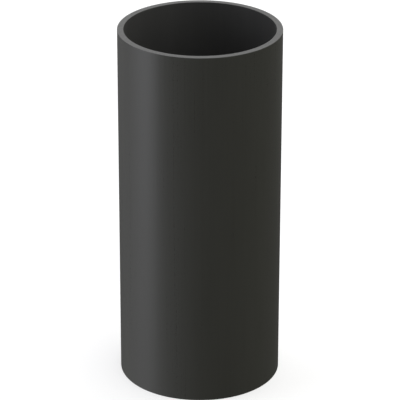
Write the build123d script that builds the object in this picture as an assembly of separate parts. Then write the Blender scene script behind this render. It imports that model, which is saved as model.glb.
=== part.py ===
"""A short length of round rainwater downpipe.

One piece of rigid plastic tube: extruded round, through-coloured dark grey, and sawn
square at both ends, with the saw burr broken by a light scrape on all four rims. It is
plain-ended: no socket, bead, swage or seam. It stands on its lower sawn end.

Frame: millimetres, +Z up along the tube's axis, origin at the middle of the lower end.
"""

import os

from build123d import *

# Driving dimensions
OUTSIDE_DIAMETER = 80.0  # stock rainwater size
WALL = 3.1  # 0.0387 of the outside diameter
LENGTH = 181.4  # 2.268 outside diameters
EDGE_BREAK = 0.2  # each sawn rim, scraped at 45 degrees

# Derived
OUTSIDE_RADIUS = OUTSIDE_DIAMETER / 2
BORE_RADIUS = OUTSIDE_RADIUS - WALL

# The wall's section in the XZ plane, at +X: a tall thin rectangle with its four corners
# broken, turned once round the axis.
section_points = [
    (BORE_RADIUS + EDGE_BREAK, 0.0),
    (OUTSIDE_RADIUS - EDGE_BREAK, 0.0),
    (OUTSIDE_RADIUS, EDGE_BREAK),
    (OUTSIDE_RADIUS, LENGTH - EDGE_BREAK),
    (OUTSIDE_RADIUS - EDGE_BREAK, LENGTH),
    (BORE_RADIUS + EDGE_BREAK, LENGTH),
    (BORE_RADIUS, LENGTH - EDGE_BREAK),
    (BORE_RADIUS, EDGE_BREAK),
]

with BuildPart() as downpipe:
    with BuildSketch(Plane.XZ):
        with BuildLine():
            Polyline(*section_points, close=True)
        make_face()
    revolve(axis=Axis.Z)

os.makedirs("parts", exist_ok=True)
export_step(downpipe.part, "parts/downpipe.step")
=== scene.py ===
"""A short plain-ended length of round dark grey downpipe, standing on its sawn lower end on a pale studio floor.

Metres, in the part's own frame: +Z up along the pipe, origin in the middle of the lower end, the camera on the -Y side.
"""

import math

import bpy
import numpy as np
from mathutils import Matrix, Vector


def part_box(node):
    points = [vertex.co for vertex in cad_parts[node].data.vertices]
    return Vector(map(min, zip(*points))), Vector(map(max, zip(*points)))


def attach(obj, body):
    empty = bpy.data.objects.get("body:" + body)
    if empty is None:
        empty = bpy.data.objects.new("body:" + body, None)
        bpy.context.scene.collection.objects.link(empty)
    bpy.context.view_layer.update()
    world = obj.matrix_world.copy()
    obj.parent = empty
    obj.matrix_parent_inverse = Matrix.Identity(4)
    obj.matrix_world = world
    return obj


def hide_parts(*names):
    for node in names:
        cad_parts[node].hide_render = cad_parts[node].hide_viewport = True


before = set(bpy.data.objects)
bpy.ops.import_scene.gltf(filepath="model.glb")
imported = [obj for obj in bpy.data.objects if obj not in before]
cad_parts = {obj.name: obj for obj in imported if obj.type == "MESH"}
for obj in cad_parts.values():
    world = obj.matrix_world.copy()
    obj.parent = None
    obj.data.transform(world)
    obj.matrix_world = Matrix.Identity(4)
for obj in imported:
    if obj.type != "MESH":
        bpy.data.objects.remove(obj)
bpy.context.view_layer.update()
low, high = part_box("downpipe")
LENGTH = high.z - low.z
OUTER = 0.03998  # radius of the skin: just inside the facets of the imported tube
WALL = 0.0031
INNER = OUTER - WALL
EDGE = 0.0002  # scraped edge of each sawn rim
rng = np.random.default_rng(11)
MM = 0.001


# ---------------------------------------------------------------- the tube's mesh
AROUND = 576  # 0.44 mm apart on the outside


def ring_noise(waves, amount):
    """A smooth wobble around the tube: random phases on the given numbers of waves, largest value about `amount`."""
    a = np.linspace(0, 2 * math.pi, AROUND, endpoint=False)
    out = np.zeros(AROUND)
    for w in waves:
        out += rng.normal() * np.cos(w * a + rng.uniform(0, 2 * math.pi)) / math.sqrt(w)
    return out * amount / max(np.abs(out).max(), 1e-9)


def die_lines(count, deepest):
    """Grooves that run the whole length of an extrusion, as depth by angle: a few deep ones and many faint ones."""
    a = np.arange(AROUND)
    depth = np.zeros(AROUND)
    for _ in range(count):
        at, width = rng.uniform(0, AROUND), rng.uniform(0.9, 2.6)
        d = np.abs((a - at + AROUND / 2) % AROUND - AROUND / 2)
        depth = np.maximum(depth, deepest * rng.uniform(0.1, 1.0) ** 2 * np.exp(-((d / width) ** 2)))
    return depth


theta = np.linspace(0, 2 * math.pi, AROUND, endpoint=False)
outer_depth = die_lines(60, 0.004 * MM) + 0.002 * MM * (1 + ring_noise(range(20, 90), 1.0))
inner_depth = die_lines(50, 0.006 * MM) + 0.004 * MM * (1 + ring_noise(range(8, 60), 1.0))


def saw_dip(x, y, seed):
    """How far the sawn face dips at a point, in metres: broad shallow arcs that a round blade leaves across the end."""
    centre = (-0.088 if seed else 0.092, -0.085)
    r = np.hypot(x - centre[0], y - centre[1])
    wobble = 0.00022 * np.sin(r * 2 * math.pi / 0.0117 + seed)
    wave = 0.5 + 0.5 * np.sin((r + wobble) * 2 * math.pi / 0.0019 + 0.7 * seed)
    return 0.014 * MM * wave**2 + 0.006 * MM * (0.5 + 0.5 * np.sin(r * 2 * math.pi / 0.0063))


def end_rings(z_end, up, seed):
    """Rings of one end from the outer skin's edge to the bore's: rounded edge, sawn face, rounded edge."""
    sign = 1 if up else -1
    outer_edge = EDGE * (0.72 + 0.28 * ring_noise(range(2, 40), 1.0))
    inner_edge = EDGE * (0.68 + 0.30 * ring_noise(range(2, 40), 1.0))
    rings = []
    for t in (0.0, 0.25, 0.5, 0.75, 1.0):  # quarter round from the skin on to the face
        s, c = math.sin(t * math.pi / 2), math.cos(t * math.pi / 2)
        r = OUTER - outer_depth * (1 - t) - outer_edge * (1 - c)
        z = z_end - sign * outer_edge * (1 - s)
        rings.append((r, z))
    start, stop = OUTER - outer_edge, INNER + inner_edge
    for t in np.linspace(0, 1, 8)[1:-1]:
        r = start + (stop - start) * t
        dip = saw_dip(r * np.cos(theta), r * np.sin(theta), seed) * min(1, 6 * t, 6 * (1 - t))
        rings.append((r, z_end - sign * dip))
    for t in (1.0, 0.75, 0.5, 0.25, 0.0):
        s, c = math.sin(t * math.pi / 2), math.cos(t * math.pi / 2)
        r = INNER + inner_depth * (1 - t) + inner_edge * (1 - c)
        z = z_end - sign * inner_edge * (1 - s)
        rings.append((r, z))
    return rings


LEVELS = 24  # rings along each wall
top = end_rings(high.z, True, 0)
bottom = end_rings(low.z, False, 1)
HOLD = 0.0003 / LENGTH  # a ring close to each edge, so that the edge's rounding doesn't bend the light further along the wall
walls_z = np.concatenate([[HOLD], np.linspace(0, 1, LEVELS + 2)[1:-1], [1 - HOLD]])
outer_wall = [(OUTER - outer_depth, bottom[0][1] + (top[0][1] - bottom[0][1]) * t) for t in walls_z]
inner_wall = [(INNER + inner_depth, top[-1][1] + (bottom[-1][1] - top[-1][1]) * t) for t in walls_z]
rings = outer_wall + top + inner_wall + bottom[::-1]  # up the skin, over the rim, down the bore and back
count = len(rings)

points = np.zeros((count, AROUND, 3))
for i, (r, z) in enumerate(rings):
    points[i, :, 0] = r * np.cos(theta)
    points[i, :, 1] = r * np.sin(theta)
    points[i, :, 2] = z
i, j = np.meshgrid(np.arange(count), np.arange(AROUND), indexing="ij")
i2, j2 = (i + 1) % count, (j + 1) % AROUND
faces = np.stack([i * AROUND + j, i * AROUND + j2, i2 * AROUND + j2, i2 * AROUND + j], -1).reshape(-1, 4)

mesh = bpy.data.meshes.new("pipe_length")
mesh.from_pydata(points.reshape(-1, 3).tolist(), [], faces.tolist())
mesh.update()

# Which face is skin, rim or bore, by the ring it starts from
n_out, n_end = len(outer_wall), len(top)
face_ring = np.repeat(np.arange(count), AROUND)
SKIN, CUT, BORE = 0, 1, 2
kind = np.full(count, SKIN)
first_top = n_out
kind[first_top : first_top + n_end - 1] = CUT
kind[first_top + n_end - 1 : first_top + n_end + len(inner_wall)] = BORE
first_bottom = first_top + n_end + len(inner_wall)
kind[first_bottom : first_bottom + n_end - 1] = CUT
mesh.polygons.foreach_set("material_index", kind[face_ring].astype(np.int32))
mesh.polygons.foreach_set("use_smooth", np.ones(len(faces), bool))

# The tube unrolled into strips of the map's whole width, one above another: the skin and the upper end in two halves each,
# so that the lines along the tube stay fine, and the bore and the lower end whole
skin_rings = list(range(first_bottom + n_end - 1, count)) + list(range(0, first_top))  # from the lower end up
top_rings = list(range(first_top, first_top + n_end - 1))
bore_rings = list(range(first_top + n_end - 1, first_bottom))
bottom_rings = list(range(first_bottom, first_bottom + n_end - 1))
profile = np.array([[np.mean(r), np.mean(z)] for r, z in rings])
run = np.hypot(*(np.roll(profile, -1, 0) - profile).T)
GAP = 0.008
uv = np.zeros((count, AROUND, 4, 2))
v = GAP
for members, halves, height in ((skin_rings, 2, 0.290), (top_rings, 2, 0.026), (bore_rings, 1, 0.284), (bottom_rings, 1, 0.020)):
    across = AROUND // halves
    for half in range(halves):
        columns = np.arange(half * across, (half + 1) * across)
        u0 = 0.003 + 0.994 * np.arange(across) / across
        u1 = 0.003 + 0.994 * np.arange(1, across + 1) / across
        along = v
        for k in members:
            after = along + height * run[k] / run[members].sum()
            uv[k, columns, 0] = np.stack([u0, np.full(across, along)], 1)
            uv[k, columns, 1] = np.stack([u1, np.full(across, along)], 1)
            uv[k, columns, 2] = np.stack([u1, np.full(across, after)], 1)
            uv[k, columns, 3] = np.stack([u0, np.full(across, after)], 1)
            along = after
        v += height + GAP
layer = mesh.uv_layers.new(name="OFBake")
layer.data.foreach_set("uv", uv.reshape(-1).astype(np.float32))
mesh.update()

pipe = bpy.data.objects.new("pipe_length", mesh)
bpy.context.scene.collection.objects.link(pipe)


# ---------------------------------------------------------------- materials
class Graph:
    """A few short cuts for building a shader from nodes."""

    def __init__(self, tree):
        self.tree = tree
        self.nodes, self.links = tree.nodes, tree.links

    def put(self, socket, value):
        if isinstance(value, bpy.types.NodeSocket):
            self.links.new(value, socket)
        elif value is not None:
            socket.default_value = value

    def math(self, op, a, b=None, c=None, clamp=False):
        n = self.nodes.new("ShaderNodeMath")
        n.operation, n.use_clamp = op, clamp
        for socket, value in zip(n.inputs, (a, b, c)):
            self.put(socket, value)
        return n.outputs[0]

    def ramp(self, value, from_min, from_max, to_min=0.0, to_max=1.0, smooth=False):
        n = self.nodes.new("ShaderNodeMapRange")
        n.interpolation_type = "SMOOTHSTEP" if smooth else "LINEAR"
        for name, x in zip(("Value", "From Min", "From Max", "To Min", "To Max"), (value, from_min, from_max, to_min, to_max)):
            self.put(n.inputs[name], x)
        return n.outputs["Result"]

    def noise(self, vector, scale, detail=2.0, rough=0.5):
        n = self.nodes.new("ShaderNodeTexNoise")
        self.put(n.inputs["Vector"], vector)
        n.inputs["Scale"].default_value = scale
        n.inputs["Detail"].default_value = detail
        n.inputs["Roughness"].default_value = rough
        return n.outputs["Fac"]

    def stretch(self, vector, x, y, z):
        n = self.nodes.new("ShaderNodeVectorMath")
        n.operation = "MULTIPLY"
        self.put(n.inputs[0], vector)
        n.inputs[1].default_value = (x, y, z)
        return n.outputs[0]

    def total(self, *parts):
        """The sum of value times share over the pairs given."""
        out = None
        for value, share in parts:
            out = self.math("MULTIPLY_ADD", value, share, 0.0 if out is None else out)
        return out

    def mix(self, factor, a, b):
        n = self.nodes.new("ShaderNodeMix")
        n.data_type = "RGBA"
        self.put(n.inputs["Factor"], factor)
        colour = [s for s in n.inputs if s.type == "RGBA"]
        self.put(colour[0], a)
        self.put(colour[1], b)
        return [s for s in n.outputs if s.type == "RGBA"][0]


def plastic(name, dark, light, rough_low, rough_high, finish):
    """Rigid plastic between two close tones. `finish` gives the surface's own marks: a tone and a roughness from 0 to 1,
    and a height in millimetres."""
    material = bpy.data.materials.new(name)
    material.use_nodes = True
    g = Graph(material.node_tree)
    shader = g.nodes["Principled BSDF"]
    shader.inputs["IOR"].default_value = 1.46
    shader.inputs["Specular IOR Level"].default_value = 0.5
    where = g.nodes.new("ShaderNodeTexCoord").outputs["Object"]
    tone, rough, height = finish(g, where)
    g.put(shader.inputs["Base Color"], g.mix(tone, dark, light))
    g.put(shader.inputs["Roughness"], g.ramp(rough, 0.0, 1.0, rough_low, rough_high))
    bump = g.nodes.new("ShaderNodeBump")
    bump.inputs["Strength"].default_value = 1.0
    bump.inputs["Distance"].default_value = MM
    g.put(bump.inputs["Height"], height)
    g.put(shader.inputs["Normal"], bump.outputs["Normal"])
    return material


def extruded(fine, coarse, cloud):
    """What the die leaves: hair-fine streaks along the whole length, wider soft bands, slow cloudy flow, the faint peel of
    the cooled skin and a few pale specks of filler. fine, coarse and cloud are how many a metre of each."""

    def finish(g, where):
        hairs = g.noise(g.stretch(where, fine, fine, 14.0), 1.0, 2.0, 0.6)
        lines = g.noise(g.stretch(where, coarse, coarse, 3.0), 1.0, 3.0, 0.6)
        flow = g.noise(g.stretch(where, cloud, cloud, cloud * 0.3), 1.0, 3.0, 0.55)
        peel = g.noise(where, 1700.0, 2.0, 0.5)
        speck = g.ramp(g.noise(where, 2900.0, 0.0, 0.5), 0.80, 0.86, smooth=True)
        hairs = g.ramp(hairs, 0.38, 0.62)
        lines, flow, peel = (g.ramp(x, 0.28, 0.72) for x in (lines, flow, peel))
        tone = g.total((hairs, 0.20), (lines, 0.16), (flow, 0.36), (speck, 1.5))
        rough = g.total((hairs, 0.16), (lines, 0.10), (flow, 0.18), (peel, 0.18))
        height = g.total((hairs, 0.0046), (lines, 0.0060), (peel, 0.0040))
        return tone, rough, height

    return finish


def sawn(g, where):
    """The face that a round blade leaves: fine arcs across the rim, some deeper than others, a torn matt surface, and
    paler edges where the burr was scraped off."""
    split = g.nodes.new("ShaderNodeSeparateXYZ")
    g.put(split.inputs[0], where)
    x, y = split.outputs["X"], split.outputs["Y"]

    def length(a, b):
        return g.math("SQRT", g.math("ADD", g.math("MULTIPLY", a, a), g.math("MULTIPLY", b, b)))

    r = length(g.math("ADD", x, -0.092), g.math("ADD", y, 0.085))
    r = g.math("ADD", r, g.math("MULTIPLY", g.noise(where, 70.0, 2.0, 0.5), 0.0012))
    teeth = g.ramp(g.math("SINE", g.math("MULTIPLY", r, 2 * math.pi / 0.00066)), -1.0, 1.0)
    strokes = g.ramp(g.math("SINE", g.math("MULTIPLY", r, 2 * math.pi / 0.0047)), 0.2, 1.0)
    torn = g.ramp(g.noise(where, 3300.0, 3.0, 0.65), 0.3, 0.7)
    patches = g.ramp(g.noise(where, 140.0, 2.0, 0.5), 0.3, 0.7)
    from_middle = g.math("ABSOLUTE", g.math("SUBTRACT", length(x, y), (OUTER + INNER) / 2))
    scraped = g.ramp(from_middle, WALL / 2 - 1.6 * EDGE, WALL / 2 - 0.5 * EDGE, smooth=True)
    teeth = g.math("MULTIPLY", teeth, g.ramp(patches, 0.0, 1.0, 0.45, 1.0))
    tone = g.total((teeth, 0.32), (strokes, 0.12), (torn, 0.36), (patches, 0.14), (scraped, 0.25))
    rough = g.total((torn, 0.5), (patches, 0.3), (teeth, 0.2))
    height = g.total((teeth, 0.030), (strokes, 0.012), (torn, 0.020))
    return tone, rough, height


skin = plastic("pipe_skin", (0.0349, 0.0352, 0.0299, 1), (0.0460, 0.0463, 0.0396, 1), 0.242, 0.462, extruded(4300.0, 640.0, 26.0))
cut = plastic("pipe_sawn_end", (0.0331, 0.0331, 0.0317, 1), (0.0568, 0.0568, 0.0553, 1), 0.40, 0.58, sawn)
bore = plastic("pipe_bore", (0.0334, 0.0334, 0.0325, 1), (0.0439, 0.0439, 0.0427, 1), 0.358, 0.586, extruded(3900.0, 480.0, 34.0))
for m in (skin, cut, bore):
    pipe.data.materials.append(m)

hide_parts("downpipe")
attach(pipe, "root")


# ---------------------------------------------------------------- floor and light
floor_mesh = bpy.data.meshes.new("studio_floor")
side = 6.0
floor_mesh.from_pydata([(-side, -side, 0), (side, -side, 0), (side, side, 0), (-side, side, 0)], [], [(0, 1, 2, 3)])
floor = bpy.data.objects.new("studio_floor", floor_mesh)
bpy.context.scene.collection.objects.link(floor)
floor.location.z = low.z - 0.00002
floor_look = bpy.data.materials.new("studio_floor")
floor_look.use_nodes = True
fb = floor_look.node_tree.nodes["Principled BSDF"]
fb.inputs["Base Color"].default_value = (0.42, 0.42, 0.42, 1)
fb.inputs["Roughness"].default_value = 1.0
fb.inputs["Specular IOR Level"].default_value = 0.0
fb.inputs["Emission Color"].default_value = (1, 1, 1, 1)
fb.inputs["Emission Strength"].default_value = 0.56
floor_mesh.materials.append(floor_look)
floor.visible_glossy = False
floor.visible_diffuse = False
floor.visible_shadow = False

world = bpy.data.worlds.new("studio")
bpy.context.scene.world = world
world.use_nodes = True
g = Graph(world.node_tree)
g.nodes.clear()
direction = g.nodes.new("ShaderNodeTexCoord").outputs["Generated"]
xyz = g.nodes.new("ShaderNodeSeparateXYZ")
g.put(xyz.inputs[0], direction)
round_angle = g.math("ARCTAN2", xyz.outputs["X"], g.math("MULTIPLY", xyz.outputs["Y"], -1.0))  # 0 towards the camera
height_angle = g.math("ARCSINE", xyz.outputs["Z"])


def panel(az0, az1, left, right, el0, el1, below, above):
    """A soft-edged panel of the dome, as a share from 0 to 1: from where to where around (degrees from the camera's side,
    + to the right) and up, and how wide each of its four edges fades."""
    middle, half = math.radians((az0 + az1) / 2), math.radians((az1 - az0) / 2)
    left, right, below, above = (math.radians(x) / 2 for x in (left, right, below, above))
    lo, hi = math.radians(el0), math.radians(el1)
    across = g.math("WRAP", g.math("SUBTRACT", round_angle, middle), math.pi, -math.pi)
    share = g.math("MULTIPLY", g.ramp(across, -half - left, -half + left, smooth=True), g.ramp(across, half - right, half + right, 1.0, 0.0, smooth=True))
    if el0 > -90:
        share = g.math("MULTIPLY", share, g.ramp(height_angle, lo - below, lo + below, smooth=True))
    return g.math("MULTIPLY", share, g.ramp(height_angle, hi - above, hi + above, 1.0, 0.0, smooth=True))


# A soft overhead dome with a dark flag in front of it, a tall bright panel on the left, a pale sheet low on the left, a
# fainter one low behind, and a soft fill from the right at the back
sky = g.math("MULTIPLY_ADD", panel(-66.3, 4.0, 14.8, 14.8, -90, 88, 0, 33.6), -0.815 * 1.68, 1.68)
dome = g.math("ADD", 0.033, g.math("MULTIPLY", g.math("SUBTRACT", sky, 0.033), g.ramp(height_angle, math.radians(-27.5), math.radians(42.0), smooth=True)))
tall = g.math("MULTIPLY", panel(-82.7, -65.9, 79.2, 29.4, -22.8, 29.4, 18.7, 5), 3.49)
low_left = g.math("MULTIPLY", panel(-128, -21.3, 93.1, 93.1, -90, -12.5, 0, 12.1), 0.558)
low_back = g.math("MULTIPLY", panel(130.2, 229.8, 80, 80, -46.1, -3.8, 16.8, 16.8), 0.036)
fill = g.math("MULTIPLY", panel(98.1, 149, 37.4, 37.4, 15.5, 54.6, 24, 24), 0.44)
soft = g.math("ADD", g.math("ADD", dome, fill), g.math("ADD", low_left, low_back))
side_tint = g.mix(g.ramp(xyz.outputs["X"], -1.0, 1.0), (0.985, 0.990, 1.045, 1), (1.010, 1.005, 0.955, 1))  # a little cooler from the left
studio = g.nodes.new("ShaderNodeAddShader")
for k, (colour, strength) in enumerate(((side_tint, soft), ((0.980, 0.988, 1.06, 1), tall))):
    lamp = g.nodes.new("ShaderNodeBackground")
    g.put(lamp.inputs["Color"], colour)
    g.put(lamp.inputs["Strength"], strength)
    g.put(studio.inputs[k], lamp.outputs[0])
seen = g.nodes.new("ShaderNodeBackground")
seen.inputs["Strength"].default_value = 1.0
seen.inputs["Color"].default_value = (1, 1, 1, 1)
either = g.nodes.new("ShaderNodeMixShader")
g.put(either.inputs[0], g.nodes.new("ShaderNodeLightPath").outputs["Is Camera Ray"])
g.put(either.inputs[1], studio.outputs[0])
g.put(either.inputs[2], seen.outputs[0])
g.put(g.nodes.new("ShaderNodeOutputWorld").inputs["Surface"], either.outputs[0])

bpy.context.scene.view_settings.view_transform = "Standard"

# ---------------------------------------------------------------- camera
FOCAL_PX = 2568.4  # focal length in pixels of a 400 pixel frame
DISTANCE, PITCH, ROLL = 1.27176, math.radians(24.284), math.radians(0.087)
MIDDLE = (199.84, 200.32)  # where the middle of the pipe's axis shows
camera_data = bpy.data.cameras.new("camera")
camera = bpy.data.objects.new("camera", camera_data)
bpy.context.scene.collection.objects.link(camera)
camera_data.sensor_width = 36.0
camera_data.lens = 36.0 * FOCAL_PX / 400.0
forward = Vector((0, math.cos(PITCH), -math.sin(PITCH)))
right = Vector((1, 0, 0))
up = right.cross(forward)
axes = Matrix((right, up, -forward)).transposed()
turn = Matrix.Rotation(ROLL, 3, "Z") @ Matrix.Rotation(-(200.0 - MIDDLE[0]) / FOCAL_PX, 3, "Y") @ Matrix.Rotation((MIDDLE[1] - 200.0) / FOCAL_PX, 3, "X")
camera.matrix_world = Matrix.Translation(Vector((0, 0, LENGTH / 2)) - DISTANCE * forward) @ (axes @ turn).to_4x4()
camera_data.clip_start, camera_data.clip_end = 0.05, 50.0
bpy.context.scene.camera = camera
